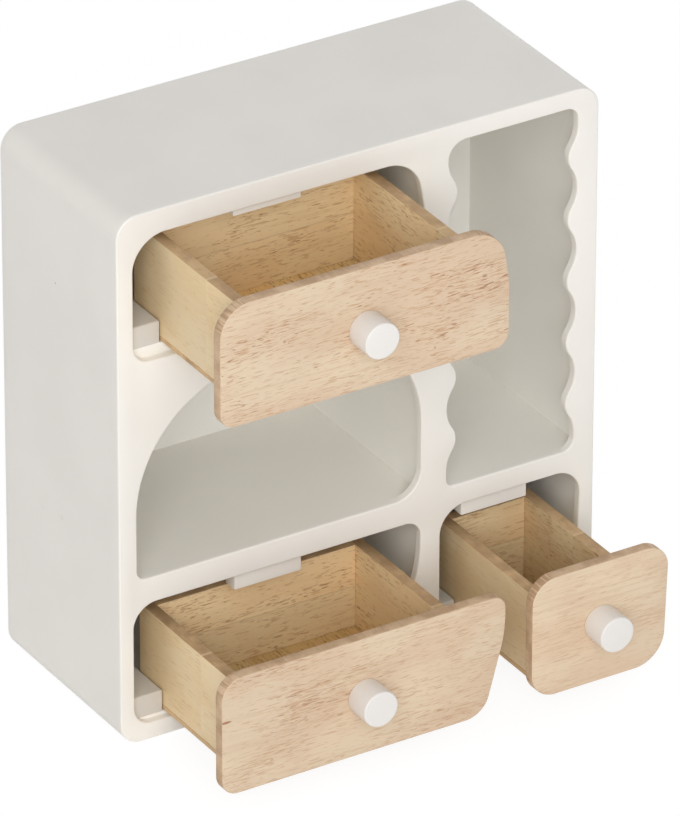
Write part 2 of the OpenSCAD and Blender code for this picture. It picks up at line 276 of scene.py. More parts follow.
@dataclass(frozen=True)
class Paint:
    """Sprayed satin paint on fibreboard, with a faint mottle and orange peel.

    Args:
        colour: Base colour.
        shade: Colour of the mottle's darker side.
        marks: Small marks.
        roughness: Roughness of the coat.
    """

    colour: Colour = (0.896, 0.866, 0.815)
    shade: Colour = (0.872, 0.842, 0.792)
    marks: tuple[Mark, ...] = ()
    roughness: float = 0.50

    MARK_COLOUR = (0.42, 0.38, 0.32)
    # The mottle's cells per millimetre, shift and octaves, and its noise levels
    MOTTLE_PATTERN, MOTTLE_STEP = (0.022, (3.1, 1.7, 5.3), 3.0), (0.3, 0.7)
    # The orange peel's cells per millimetre, depth and strength
    PEEL_PER_MM, PEEL_MM, PEEL_STRENGTH = 1.1, 0.012, 0.35
    MOTTLE_ROUGHNESS, PEEL_ROUGHNESS = 0.12, 0.06

    def make(self, name: str) -> Material:
        """Builds the paint's material."""
        shader = Shader.of(name)
        mottle = shader.even_noise(*self.MOTTLE_PATTERN)
        colour = shader.mix(mottle.between(*self.MOTTLE_STEP), self.colour, self.shade)
        for mark in self.marks:
            colour = shader.mix(mark.mask(shader), colour, self.MARK_COLOUR)
        peel = shader.even_noise(self.PEEL_PER_MM)
        rough = (mottle - 0.5) * self.MOTTLE_ROUGHNESS + peel * self.PEEL_ROUGHNESS
        return shader.finish(
            Base_Color=colour,
            Roughness=rough + self.roughness,
            Normal=shader.bump(peel, self.PEEL_STRENGTH, self.PEEL_MM),
        )


@dataclass(frozen=True)
class Grain:
    """Coordinates in millimetres that bend with a board's slightly wavy grain.

    Args:
        shader: The material that they belong to.
        along: The axis that the grain runs along.
        vector: The bent coordinates.
    """

    shader: Shader
    along: Axis
    vector: Value

    def noise(self, along: float, over: float, detail: float = 2.0) -> Value:
        """Noise with so many cells per millimetre along the grain and across it."""
        scale = tuple(along if axis is self.along else over for axis in Axis)
        drawn = self.shader.vector_math("MULTIPLY", self.vector, scale)["Vector"]
        return self.shader.noise(drawn, detail)


@dataclass(frozen=True)
class Staves:
    """How a board is glued up from narrower pieces.

    Args:
        axis: The axis that the pieces follow each other along.
        width_mm: Size of a piece along that axis.
        start_mm: Where one seam lies in the frame.
        spread: How far the pieces differ in tone.
        seam_share: Strength of the seams.
        seam_mm: Width of a seam.
    """

    axis: Axis
    width_mm: float
    start_mm: float
    spread: float
    seam_share: float = 0.30
    seam_mm: float = 0.35

    # Pieces that the random numbers move on by from one seed to the next
    SEED_STEP = 13

    def count(self, shader: Shader) -> Value:
        """Pieces counted from the given seam, as a running number."""
        scale = [1.0 / self.width_mm if axis is self.axis else 0.0 for axis in Axis]
        offset = [-self.start_mm / self.width_mm] * 3
        inputs = {"Vector": shader.place(scale, offset)}
        return shader.node("SeparateXYZ", inputs)[self.axis.value]

    def number(self, shader: Shader, seed: int) -> Value:
        """One random number from 0 to 1 for each piece."""
        whole = shader.math("FLOOR", self.count(shader)) + float(seed * self.SEED_STEP)
        node = shader.node("TexWhiteNoise", {"W": whole}, noise_dimensions="1D")
        return node["Value"]

    def seam(self, shader: Shader) -> Value:
        """Mask of the thin seams between the pieces."""
        place = shader.math("FRACT", self.count(shader))
        off_middle = shader.math("ABSOLUTE", place - 0.5)
        half = self.seam_mm / self.width_mm / 2
        return off_middle.between(0.5 - half * 2, 0.5 - half)


@dataclass(frozen=True)
class Dashes:
    """Open pores that show as short dashes along the grain.

    Args:
        along: Noise cells per millimetre along the grain.
        over: Noise cells per millimetre across it.
        level: Noise level above which a pore opens.
        soft: How much further up the noise the pore is full.
        crowding: How far the level drops where the pores crowd.
        share: Darkness of the pores.
    """

    along: float
    over: float
    level: float
    soft: float
    crowding: float
    share: float

    def mask(self, run: Grain, crowd: Value) -> Value:
        """Where the pores show."""
        above = run.noise(self.along, self.over) + (crowd - 0.5) * self.crowding
        return above.between(self.level, self.level + self.soft) * self.share


@dataclass(frozen=True)
class Wood:
    """Bare light wood with soft patches, growth lines, fibres and pores.

    Args:
        pale: Colour of the pale wood.
        tan: Colour of the darker patches.
        line: Colour of the growth lines.
        vessel: Colour of the many fine pores.
        pore: Colour of the few deep pores and the knots.
        bend_mm: How far the grain sways to the side.
        line_share: Strength of the growth lines.
        fine: The many fine pores.
        deep: The few deep pores.
        roughness: Roughness of the sanded face.
        tone: Brightness of the whole board.
        knots: Dark dashes and dots at given places.
        crowds: Places where the pores crowd.
    """

    pale: Colour = (0.748, 0.600, 0.432)
    tan: Colour = (0.713, 0.538, 0.379)
    line: Colour = (0.520, 0.330, 0.190)
    vessel: Colour = (0.500, 0.270, 0.140)
    pore: Colour = (0.330, 0.130, 0.055)
    bend_mm: float = 4.0
    line_share: float = 0.24
    fine: Dashes = Dashes(0.160, 1.90, 0.540, 0.110, 0.24, 0.56)
    deep: Dashes = Dashes(0.170, 1.35, 0.690, 0.060, 0.50, 0.62)
    roughness: float = 0.52
    tone: float = 1.0
    knots: tuple[Mark, ...] = ()
    crowds: tuple[Mark, ...] = ()

    # Noise cells per millimetre along and across the grain, and octaves
    PATCHES, DRIFT, FIBRES = (0.022, 0.050, 2.0), (0.012, 0.020, 1.0), (0.060, 2.4, 2.0)
    CROWDING, LINES, SWAY = (0.018, 0.060, 1.5), (0.014, 0.50, 2.0), (0.014, 0.022, 1.0)
    # Noise levels between which a pattern comes up
    PATCH_STEP, DRIFT_STEP, LINE_STEP = (0.36, 0.64), (0.35, 0.65), (0.48, 0.68)
    # Shares of one pattern in another, in the tone, the roughness and the height
    FIBRE_IN_PATCHES, DRIFT_IN_LINES, DRIFT_IN_TONE = 0.3, 0.6, 0.10
    PORE_ROUGHNESS, FIBRE_ROUGHNESS = 0.25, 0.12
    PORE_HEIGHT, FIBRE_HEIGHT, BUMP_STRENGTH, BUMP_MM = 0.6, 0.4, 0.5, 0.05
    # Shifts that set boards and staves apart, in millimetres
    BOARD_SHIFTS, SHIFT_SPAN, STAVE_SHIFT = (173.1, 91.7, 57.3), 900.0, 700.0

    def make(self, name: str, grain: Axis, staves: Staves, seed: int) -> Material:
        """Builds the wood's material for one board.

        Args:
            name: The material's name.
            grain: The axis that the grain runs along.
            staves: How the board is glued up.
            seed: Number that sets this board's pattern apart.

        Returns:
            The material.
        """
        shader = Shader.of(name)
        number = staves.number(shader, seed)
        run = self.bent(shader, grain, number, seed)
        patch = run.noise(*self.PATCHES)
        drift = run.noise(*self.DRIFT)
        fibre = run.noise(*self.FIBRES)
        crowd = run.noise(*self.CROWDING)
        for place in self.crowds:
            crowd = crowd + place.mask(shader)
        lines = run.noise(*self.LINES)

        blend = patch + fibre * self.FIBRE_IN_PATCHES + number * (staves.spread * 2.0)
        blend = blend - (self.FIBRE_IN_PATCHES / 2 + staves.spread)
        colour = shader.mix(blend.between(*self.PATCH_STEP), self.pale, self.tan)
        strong = drift.between(*self.DRIFT_STEP) * self.DRIFT_IN_LINES
        strong = strong + (1.0 - self.DRIFT_IN_LINES)
        drawn = lines.between(*self.LINE_STEP) * strong * self.line_share
        colour = shader.mix(drawn, colour, self.line)
        tone = number * staves.spread + drift * self.DRIFT_IN_TONE
        tone = tone + (1.0 - self.DRIFT_IN_TONE / 2 - staves.spread / 2)
        tone = tone * (1.0 - staves.seam(shader) * staves.seam_share) * self.tone
        channels = dict.fromkeys(range(3), tone)
        grey = shader.node("CombineColor", channels)["Color"]
        colour = shader.mix(1.0, colour, grey, "MULTIPLY")

        fine = self.fine.mask(run, crowd)
        deep = self.deep.mask(run, crowd)
        pores = shader.math("MAXIMUM", fine, deep)
        colour = shader.mix(fine, colour, self.vessel)
        colour = shader.mix(deep, colour, self.pore)
        for knot in self.knots:
            colour = shader.mix(knot.mask(shader), colour, self.pore)
        rough = pores * self.PORE_ROUGHNESS + fibre * self.FIBRE_ROUGHNESS
        height = fibre * self.FIBRE_HEIGHT - pores * self.PORE_HEIGHT
        return shader.finish(
            Base_Color=colour,
            Roughness=rough + (self.roughness - self.FIBRE_ROUGHNESS / 2),
            Normal=shader.bump(height, self.BUMP_STRENGTH, self.BUMP_MM),
        )

    def bent(self, shader: Shader, grain: Axis, number: Value, seed: int) -> Grain:
        """Coordinates that start afresh in each stave and sway with the grain."""
        shift = seeded_shift(seed, self.BOARD_SHIFTS, self.SHIFT_SPAN)
        plain = shader.place((1.0, 1.0, 1.0), shift)
        step = {axis.value: number * self.STAVE_SHIFT for axis in Axis}
        apart = self.push(shader, plain, step)
        wave = (Grain(shader, grain, apart).noise(*self.SWAY) - 0.5) * self.bend_mm
        aside = {axis.value: wave for axis in Axis if axis is not grain}
        return Grain(shader, grain, self.push(shader, apart, aside))

    @staticmethod
    def push(shader: Shader, vector: Value, amounts: dict[int, Value]) -> Value:
        """Moves coordinates by the given amount along each axis."""
        amount = shader.node("CombineXYZ", amounts)["Vector"]
        return shader.vector_math("ADD", vector, amount)["Vector"]


@dataclass(frozen=True)
class SawnEdge:
    """The sanded edge of a wooden board, darker than its faces.

    Args:
        light: Colour of the lighter side.
        dark: Colour of the darker side.
        glue: Colour of a glued seam.
        streaks: Strength of the streaks.
        streak_per_mm: Streaks per millimetre.
    """

    light: Colour = (0.710, 0.505, 0.330)
    dark: Colour = (0.490, 0.315, 0.185)
    glue: Colour = (0.820, 0.640, 0.440)
    streaks: float = 0.30
    streak_per_mm: float = 1.3

    # Soft patches and dark specks per millimetre, and strength of specks and seams
    CLOUD_PER_MM, SPECK_PER_MM, SPECK_SHARE, SEAM_SHARE = 0.11, 0.75, 0.30, 0.60
    # Noise levels between which a pattern comes up
    BLEND_STEP, SPECK_STEP = (0.25, 0.75), (0.58, 0.70)
    # Cells along a streak against those across it, and the weight of a stave's tone
    STREAK_DRAWN, STAVE_WEIGHT = 0.08, 4.0
    ROUGHNESS, STREAK_ROUGHNESS, BUMP_STRENGTH, BUMP_MM = 0.6, 0.15, 0.4, 0.06
    BOARD_SHIFTS, SHIFT_SPAN = (4.19, 6.07, 2.33), 50.0

    def make(self, name: str, lines: Axis, staves: Staves, seed: int) -> Material:
        """Builds the edge's material.

        Args:
            name: The material's name.
            lines: The axis that the streaks run along.
            staves: How the board is glued up.
            seed: Number that sets this board's pattern apart.

        Returns:
            The material.
        """
        shader = Shader.of(name)
        shift = seeded_shift(seed, self.BOARD_SHIFTS, self.SHIFT_SPAN)
        drawn = [self.STREAK_DRAWN if axis is lines else 1.0 for axis in Axis]
        scale = [self.streak_per_mm * share for share in drawn]
        streak = shader.noise(shader.place(scale, shift))
        cloud = shader.even_noise(self.CLOUD_PER_MM, shift)
        number = staves.number(shader, seed) - 0.5
        blend = (streak - 0.5) * self.streaks + cloud
        blend = blend + number * (staves.spread * self.STAVE_WEIGHT)
        colour = shader.mix(blend.between(*self.BLEND_STEP), self.light, self.dark)
        speck = shader.even_noise(self.SPECK_PER_MM, shift, 1.0)
        specks = speck.between(*self.SPECK_STEP) * self.SPECK_SHARE
        colour = shader.mix(specks, colour, self.dark)
        seams = staves.seam(shader) * self.SEAM_SHARE
        return shader.finish(
            Base_Color=shader.mix(seams, colour, self.glue),
            Roughness=streak * self.STREAK_ROUGHNESS + self.ROUGHNESS,
            Normal=shader.bump(streak, self.BUMP_STRENGTH, self.BUMP_MM),
        )


@dataclass(frozen=True)
class Steel:
    """Bright zinc plate on a small screw.

    Args:
        colour: Base colour.
        roughness: Roughness where the plate is smoothest.
        grain_roughness: What its fine grain adds to that.
        grain_per_mm: Cells of the grain per millimetre.
    """

    colour: Colour = (0.62, 0.62, 0.64)
    roughness: float = 0.28
    grain_roughness: float = 0.15
    grain_per_mm: float = 2.0

    def make(self, name: str) -> Material:
        """Builds the steel's material."""
        shader = Shader.of(name)
        grain = shader.even_noise(self.grain_per_mm)
        return shader.finish(
            Base_Color=(*self.colour, 1.0),
            Metallic=1.0,
            Roughness=grain * self.grain_roughness + self.roughness,
        )


# --------------------- mesh making


def new_piece(name: str, mesh: BMesh) -> Object:
    """Turns a bmesh into a smooth-shaded object and frees it.

    Args:
        name: The piece's name.
        mesh: The bmesh, in metres in the frame.

    Returns:
        The new object.
    """
    data = bpy.data.meshes.new(name)
    mesh.to_mesh(data)
    mesh.free()
    for layer in INHERITED_LAYERS:
        if layer in data.attributes:
            data.attributes.remove(data.attributes[layer])
    data.shade_smooth()
    data.set_sharp_from_angle(angle=SMOOTH_ANGLE)
    piece = bpy.data.objects.new(name, data)
    bpy.context.scene.collection.objects.link(piece)
    return piece


def copy_of_node(node: Object) -> BMesh:
    """A CAD node's mesh with its loose triangles merged."""
    mesh = bmesh.new()
    mesh.from_mesh(node.data)
    bmesh.ops.remove_doubles(mesh, verts=mesh.verts, dist=WELD)
    mesh.normal_update()
    return mesh


def faces_towards(mesh: BMesh, direction: Vector) -> list[BMFace]:
    """The faces whose normal points in a direction."""
    return [face for face in mesh.faces if face.normal.dot(direction) > SAME_WAY]


def round_rim(mesh: BMesh, direction: Vector, radius: float, steps: int) -> None:
    """Rounds every edge round the flat faces that point one way.

    The flat is set back by the radius and then comes forward in insets that
    follow a quarter circle, so cut-outs are rounded as well as the outline.

    Args:
        mesh: The bmesh.
        direction: The way the flat faces point.
        radius: Radius of the rim.
        steps: Number of insets.
    """
    flat = faces_towards(mesh, direction)
    points = {vert for face in flat for vert in face.verts}
    bmesh.ops.translate(mesh, verts=list(points), vec=-direction * radius)
    for step in range(steps):
        start, end = (math.pi / 2 * s / steps for s in (step, step + 1))
        bmesh.ops.inset_region(
            mesh,
            faces=flat,
            thickness=radius * (math.cos(start) - math.cos(end)),
            depth=radius * (math.sin(end) - math.sin(start)),
            use_even_offset=True,
            use_boundary=True,
        )
    mesh.normal_update()


def box_mesh(low: Vector, high: Vector) -> BMesh:
    """A box between two corners."""
    mesh = bmesh.new()
    bmesh.ops.create_cube(mesh, size=1.0)
    bmesh.ops.scale(mesh, verts=mesh.verts, vec=high - low)
    bmesh.ops.translate(mesh, verts=mesh.verts, vec=(low + high) / 2)
    return mesh


def soften(
    mesh: BMesh,
    radius: float,
    keep: Callable[[BMEdge], bool] = lambda edge: True,
) -> None:
    """Rounds those edges of a plain board that keep says yes to."""
    bmesh.ops.bevel(
        mesh,
        geom=[edge for edge in mesh.edges if keep(edge)],
        offset=radius,
        offset_type="OFFSET",
        segments=3,
        profile=0.5,
        affect="EDGES",
        clamp_overlap=True,
        material=-1,
    )


def lathe(profile: Profile, centre: Vector, turns: int) -> BMesh:
    """Spins a profile round an axis along -Y.

    Args:
        profile: Points as (radius, distance forward), from axis to axis.
        centre: Where the axis starts.
        turns: Number of steps in the full turn.

    Returns:
        The closed bmesh.
    """
    mesh = bmesh.new()
    verts = [mesh.verts.new(centre + Vector((r, -d, 0.0))) for r, d in profile]
    edges = [mesh.edges.new(pair) for pair in zip(verts, verts[1:])]
    bmesh.ops.spin(
        mesh,
        geom=verts + edges,
        cent=centre,
        axis=BACK,
        angle=math.tau,
        steps=turns,
        use_merge=True,
        use_duplicate=False,
    )
    bmesh.ops.remove_doubles(mesh, verts=mesh.verts, dist=WELD)
    bmesh.ops.recalc_face_normals(mesh, faces=mesh.faces)
    return mesh


def arc_profile(
    centre: tuple[float, float], radius: float, start: float, end: float, steps: int
) -> Profile:
    """Points of an arc in a profile, its angles in degrees from the radius axis."""
    angles = [math.radians(start + (end - start) * i / steps) for i in range(steps + 1)]
    x, y = centre
    return [(x + radius * math.cos(a), y + radius * math.sin(a)) for a in angles]


def turned_place(node: str) -> tuple[Vector, float, float]:
    """The back end of a turned CAD node's axis, its radius and its length."""
    low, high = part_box(node)
    centre = Vector(((low.x + high.x) / 2, high.y, (low.z + high.z) / 2))
    return centre, (high.x - low.x) / 2, high.y - low.y


@dataclass(frozen=True)
class Cross:
    """The tapering cross recess of a screw head.

    Args:
        arm_mm: Reach of an arm from the middle.
        half_mm: Half an arm's width.
        deep_mm: Depth of the cross.
        taper: Share of its width that the cross has at its bottom.
    """

    arm_mm: float = 2.3
    half_mm: float = 0.5
    deep_mm: float = 1.3
    taper: float = 0.6

    def sink(self, mesh: BMesh, centre: Vector) -> None:
        """Sinks the cross into the flat round end at the start of a lathe's axis.

        Args:
            mesh: The bmesh.
            centre: The middle of the flat end, which faces +Y.
        """
        arm, half = self.arm_mm * MM, self.half_mm * MM
        for way in (RIGHT, UP, LEFT, DOWN):
            for reach in (half, arm):
                flat = self.end_faces(mesh, centre)
                edges = {edge for face in flat for edge in face.edges}
                verts = {vert for face in flat for vert in face.verts}
                bmesh.ops.bisect_plane(
                    mesh,
                    geom=[*flat, *edges, *verts],
                    plane_co=centre + way * reach,
                    plane_no=way,
                    dist=WELD,
                )
                mesh.normal_update()
        cross = []
        for face in self.end_faces(mesh, centre):
            off = face.calc_center_median() - centre
            reach, width = sorted((abs(off.x), abs(off.z)), reverse=True)
            if width < half and reach < arm:
                cross.append(face)
        sunk = bmesh.ops.extrude_face_region(mesh, geom=cross)["geom"]
        bmesh.ops.delete(mesh, geom=cross, context="FACES")
        points = [item for item in sunk if isinstance(item, BMVert)]
        bmesh.ops.translate(mesh, verts=points, vec=FRONT * self.deep_mm * MM)
        bmesh.ops.transform(
            mesh,
            matrix=Matrix.Diagonal((self.taper, 1.0, self.taper, 1.0)),
            space=Matrix.Translation(-centre),
            verts=points,
        )
        bmesh.ops.recalc_face_normals(mesh, faces=mesh.faces)

    @staticmethod
    def end_faces(mesh: BMesh, centre: Vector) -> list[BMFace]:
        """The faces of the flat end."""
        flat = faces_towards(mesh, BACK)
        return [f for f in flat if abs(f.calc_center_median().y - centre.y) < WELD]


def dress(
    piece: Object,
    materials: Sequence[Material],
    slot_of: Callable[[Vector], int] = lambda normal: 0,
) -> None:
    """Gives a piece its materials, and each face a slot by its normal."""
    piece.data.materials.clear()
    for material in materials:
        piece.data.materials.append(material)
    for polygon in piece.data.polygons:
        polygon.material_index = slot_of(polygon.normal)


# -------------------------- casing


@dataclass
class Casing:
    """The painted cabinet: plate, panels, shelves, rails and stop strips.

    Args:
        nodes: The CAD nodes by name.
    """

    nodes: dict[str, Object]
    body: str = "cabinet"
    slot: str = "white_paint"
    rim_mm: float = 0.8
    strip_edge_mm: float = 0.6
    rail_edge_mm: float = 1.0
    rim_steps: int = 4
    paint: Paint = Paint()
    # Inside paint: a touch lighter and greener than the outer white, as painted bounce
    # light for the light that the white walls throw round the compartments.
    inner_paint_painted_bounce: Paint = Paint(
        colour=(0.895, 0.873, 0.818), shade=(0.875, 0.853, 0.798)
    )
    # The rails' paint is darker than the casing's white: painted shade for the shadow
    # that the drawers and the plate cast on the rails.
    rail_paint_painted_shade: Paint = Paint(colour=(0.640, 0.612, 0.570), shade=(0.615, 0.587, 0.545))
    side_marks: tuple[Mark, ...] = (
        Mark((-125.0, 3.0, 212.0), (0.55, 0.55, 0.55), 0.8),
        Mark((-125.0, 0.0, 94.0), (1.8, 1.8, 1.8), 0.10),
        Mark((-125.0, 17.0, 91.0), (1.6, 1.6, 1.6), 0.06),
    )

    # Greatest dot product of an inner face's normal and the outward direction
    INNER_LIMIT = -0.99

    def build(self) -> list[Object]:
        """Builds, dresses and returns every piece of the casing."""
        outer = self.paint.make("satin_white")
        # The inside paint carries painted bounce light.
        inner = self.inner_paint_painted_bounce.make("satin_white_inside")
        # The rails get the darker paint, which is painted shade.
        rail = self.rail_paint_painted_shade.make("satin_white_rail_painted_shade")
        side = replace(self.paint, marks=self.side_marks).make("satin_white_side")
        pieces = [
            self.panel("front_plate", FRONT, outer, inner, rounded=True),
            self.panel("back_panel", BACK, outer, inner, rounded=True),
            self.panel("top_panel", UP, outer, inner),
            self.panel("base_panel", DOWN, outer, inner),
            self.panel("left_side_panel", LEFT, side, inner),
            self.panel("right_side_panel", RIGHT, outer, inner),
        ]
        for name in ("divider", "upper_shelf", "lower_left_shelf", "lower_right_shelf"):
            pieces.append(self.panel(name, FRONT, inner, inner))
        for bay in ("upper", "lower", "small"):
            pieces.append(self.rail(f"{bay}_left_rail", RIGHT, rail))
            pieces.append(self.rail(f"{bay}_right_rail", LEFT, rail))
            pieces.append(self.strip(f"{bay}_stop", outer))
        for piece in pieces:
            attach(piece, self.body)
            LOG.info("casing: %s, %d faces", piece.name, len(piece.data.polygons))
        return pieces

    def panel(
        self,
        name: str,
        outward: Vector,
        outer: Material,
        inner: Material,
        rounded: bool = False,
    ) -> Object:
        """A board of the casing.

        Args:
            name: The CAD node that it stands for.
            outward: The way that its outer face points.
            outer: The paint of all its faces but the inner one.
            inner: The paint of the face that points the other way, the inside white
                with its painted bounce light.
            rounded: Whether its outer face has a rounded rim.

        Returns:
            The piece.
        """
        mesh = copy_of_node(self.nodes[name])
        if rounded:
            round_rim(mesh, outward, self.rim_mm * MM, self.rim_steps)
        piece = new_piece(f"{name}_board", mesh)

        def slot_of(normal: Vector) -> int:
            return int(normal.dot(outward) < self.INNER_LIMIT)

        dress(piece, (outer, inner), slot_of)
        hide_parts(name)
        return piece

    def rail(self, name: str, inward: Vector, paint: Material) -> Object:
        """A guide rail, rounded at its front end and along its upper inner edge.

        Args:
            name: The CAD node that it stands for.
            inward: The way to the drawer.
            paint: Its paint, darker than the casing's white as painted shade.

        Returns:
            The piece.
        """
        low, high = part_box(name)
        face_x = high.x if inward is RIGHT else low.x

        def free(edge: BMEdge) -> bool:
            middle = (edge.verts[0].co + edge.verts[1].co) / 2
            at_front = abs(middle.y - low.y) < WELD
            at_top = abs(middle.z - high.z) < WELD
            at_inner = abs(middle.x - face_x) < WELD
            return at_front + at_top + at_inner >= 2

        mesh = box_mesh(low, high)
        soften(mesh, self.rail_edge_mm * MM, free)
        piece = new_piece(f"{name}_bar", mesh)
        dress(piece, (paint,))
        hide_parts(name)
        return piece

    def strip(self, name: str, paint: Material) -> Object:
        """A stop strip, rounded along its lower edges."""
        low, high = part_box(name)

        def lower(edge: BMEdge) -> bool:
            return min(vert.co.z for vert in edge.verts) < low.z + WELD

        mesh = box_mesh(low, high)
        soften(mesh, self.strip_edge_mm * MM, lower)
        piece = new_piece(f"{name}_strip", mesh)
        dress(piece, (paint,))
        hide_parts(name)
        return piece


# ------------------------- drawers


@dataclass(frozen=True)
class Board:
    """How one board of a drawer's box is dressed.

    Args:
        part: The last part of its node's name.
        grain: The axis that its grain runs along.
        thick: The axis of its thickness.
        outward: The way that its outer face points.
        staves: How it is glued up.
        number: Its number within the drawer.
    """

    part: str
    grain: Axis
    thick: Axis
    outward: Vector
    staves: Staves
    number: int


@dataclass(frozen=True)
class Looks:
    """What sets the wood of one drawer apart.

    Args:
        seams_mm: Where the left and the right board's butt seams lie along Y.
        knots: Knots in the front panel.
        crowds: Places in the front panel where the pores crowd.
        front_tone: Brightness of the front panel.
        front_vessels: Strength of the front panel's fine pores.
        front_pores: Strength of the front panel's deep pores.
        box_tone: Brightness of the box's boards.
        sheet_tone: Brightness of the bottom sheet.
    """

    seams_mm: tuple[float, float]
    knots: tuple[Mark, ...]
    crowds: tuple[Mark, ...]
    front_tone: float
    front_vessels: float
    front_pores: float
    box_tone: float
    sheet_tone: float


@dataclass
class Drawer:
    """One drawer: wooden box and front, painted knob and its screw.

    Args:
        name: The prefix of its nodes.
        nodes: The CAD nodes by name.
        seed: Number that sets its wood's pattern apart.
        looks: What else sets its wood apart.
    """

    name: str
    nodes: dict[str, Object]
    seed: int
    looks: Looks
    front_wood: Wood = Wood()
    outer_wood: Wood = Wood(
        pale=(0.865, 0.690, 0.440),
        tan=(0.835, 0.635, 0.372),
        line=(0.640, 0.440, 0.225),
        line_share=0.14,
        fine=Dashes(0.140, 1.50, 0.580, 0.110, 0.20, 0.26),
        deep=Dashes(0.150, 1.40, 0.740, 0.060, 0.46, 0.34),
    )
    inner_wood: Wood = Wood(
        pale=(0.880, 0.700, 0.430),
        tan=(0.850, 0.630, 0.368),
        line=(0.600, 0.400, 0.190),
        vessel=(0.470, 0.245, 0.090),
        pore=(0.320, 0.130, 0.040),
        fine=Dashes(0.170, 1.30, 0.560, 0.090, 0.26, 0.46),
        deep=Dashes(0.200, 1.20, 0.670, 0.060, 0.50, 0.60),
    )
    sheet_wood: Wood = Wood(
        pale=(0.760, 0.590, 0.320),
        tan=(0.670, 0.470, 0.215),
        line=(0.430, 0.275, 0.115),
        vessel=(0.320, 0.175, 0.060),
        pore=(0.210, 0.100, 0.030),
        line_share=0.40,
        fine=Dashes(0.170, 1.10, 0.550, 0.080, 0.30, 0.50),
        deep=Dashes(0.200, 1.10, 0.620, 0.060, 0.46, 0.62),
    )
    edge: SawnEdge = SawnEdge()
    corner: SawnEdge = SawnEdge(streaks=2.00, streak_per_mm=0.9)
    board_edge: SawnEdge = SawnEdge(
        light=(0.685, 0.468, 0.255),
        dark=(0.480, 0.308, 0.162),
        glue=(0.780, 0.590, 0.370),
        streaks=0.25,
    )
    knob_paint: Paint = Paint(
        colour=(0.82, 0.79, 0.76), shade=(0.80, 0.77, 0.74), roughness=0.38
    )
    steel: Steel = Steel()
    cross: Cross = Cross()

    # How the boards are glued up: sizes, differences in tone, seams
    stave_length_mm: float = 400.0
    stave_width_mm: float = 21.0
    sheet_start_mm: float = 7.0
    side_spread: float = 0.07
    back_spread: float = 0.14
    sheet_spread: float = 0.30
    back_seam_share: float = 0.15
    sheet_seam_share: float = 0.10
    side_seam_mm: float = 1.0

    # Radii of the boards' edges, and steps in the front panel's rims
    front_edge_mm: float = 0.6
    front_edge_steps: int = 3
    board_edge_mm: float = 0.35

    # The knob: radii of its edges, its hole, and steps round it and in the edges
    knob_edge_mm: float = 0.8
    knob_foot_mm: float = 0.4
    knob_hole_mm: float = 2.05
    knob_hole_depth_mm: float = 10.0
    knob_steps: int = 96
    knob_edge_steps: int = 6
    knob_foot_steps: int = 3

    # The screw: height and edge of its head, radius of its shank, and steps
    head_h_mm: float = 2.4
    head_edge_mm: float = 0.9
    shank_mm: float = 2.0
    screw_steps: int = 40
    head_edge_steps: int = 5

    # Seeds set aside for the boards of one drawer
    SEEDS_EACH = 10
    # One piece, wider than any board
    WHOLE = Staves(Axis.X, 1000.0, -500.0, 0.0)
    # Least share of a direction in a normal for a face, and for a rounded corner
    FACE_LIMIT, CORNER_LIMIT = 0.5, 0.2

    def build(self) -> list[Object]:
        """Builds, dresses and returns every piece of the drawer."""
        pieces = [self.front()]
        pieces += [self.board(board) for board in self.boards()]
        pieces += [self.knob(), self.screw()]
        for piece in pieces:
            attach(piece, f"{self.name}_drawer")
            faces = len(piece.data.polygons)
            LOG.info("%s drawer: %s, %d faces", self.name, piece.name, faces)
        return pieces

    def boards(self) -> tuple[Board, ...]:
        """The four boards of the box."""
        low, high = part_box(f"{self.name}_back_board")
        middle_mm = (low.z + high.z) / 2 / MM
        length_mm, width_mm = self.stave_length_mm, self.stave_width_mm
        left, right = (
            Staves(Axis.Y, length_mm, seam_mm, self.side_spread, 0.0, self.side_seam_mm)
            for seam_mm in self.looks.seams_mm
        )
        back = Staves(
            Axis.Z, length_mm, middle_mm, self.back_spread, self.back_seam_share
        )
        start_mm = self.seed * self.sheet_start_mm
        sheet = Staves(
            Axis.X, width_mm, start_mm, self.sheet_spread, self.sheet_seam_share
        )
        return (
            Board("left_board", Axis.Y, Axis.X, LEFT, left, 1),
            Board("right_board", Axis.Y, Axis.X, RIGHT, right, 2),
            Board("back_board", Axis.X, Axis.Y, BACK, back, 3),
            Board("bottom_sheet", Axis.Y, Axis.Z, DOWN, sheet, 4),
        )

    def front(self) -> Object:
        """The front panel, with a rounded rim on both faces."""
        node = f"{self.name}_front"
        mesh = copy_of_node(self.nodes[node])
        for direction in (FRONT, BACK):
            round_rim(mesh, direction, self.front_edge_mm * MM, self.front_edge_steps)
        piece = new_piece(f"{node}_panel", mesh)
        seed = self.seed * self.SEEDS_EACH
        wood = replace(
            self.front_wood,
            knots=self.looks.knots,
            crowds=self.looks.crowds,
            tone=self.looks.front_tone,
            fine=replace(self.front_wood.fine, share=self.looks.front_vessels),
            deep=replace(self.front_wood.deep, share=self.looks.front_pores),
        )
        materials = (
            wood.make(f"{piece.name}_face", Axis.X, self.WHOLE, seed),
            self.edge.make(f"{piece.name}_edge", Axis.Y, self.WHOLE, seed),
            self.corner.make(f"{piece.name}_corner", Axis.Y, self.WHOLE, seed),
        )

        def slot_of(normal: Vector) -> int:
            if abs(normal.y) > self.FACE_LIMIT:
                return 0
            return 2 if min(abs(normal.x), abs(normal.z)) > self.CORNER_LIMIT else 1

        dress(piece, materials, slot_of)
        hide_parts(node)
        return piece

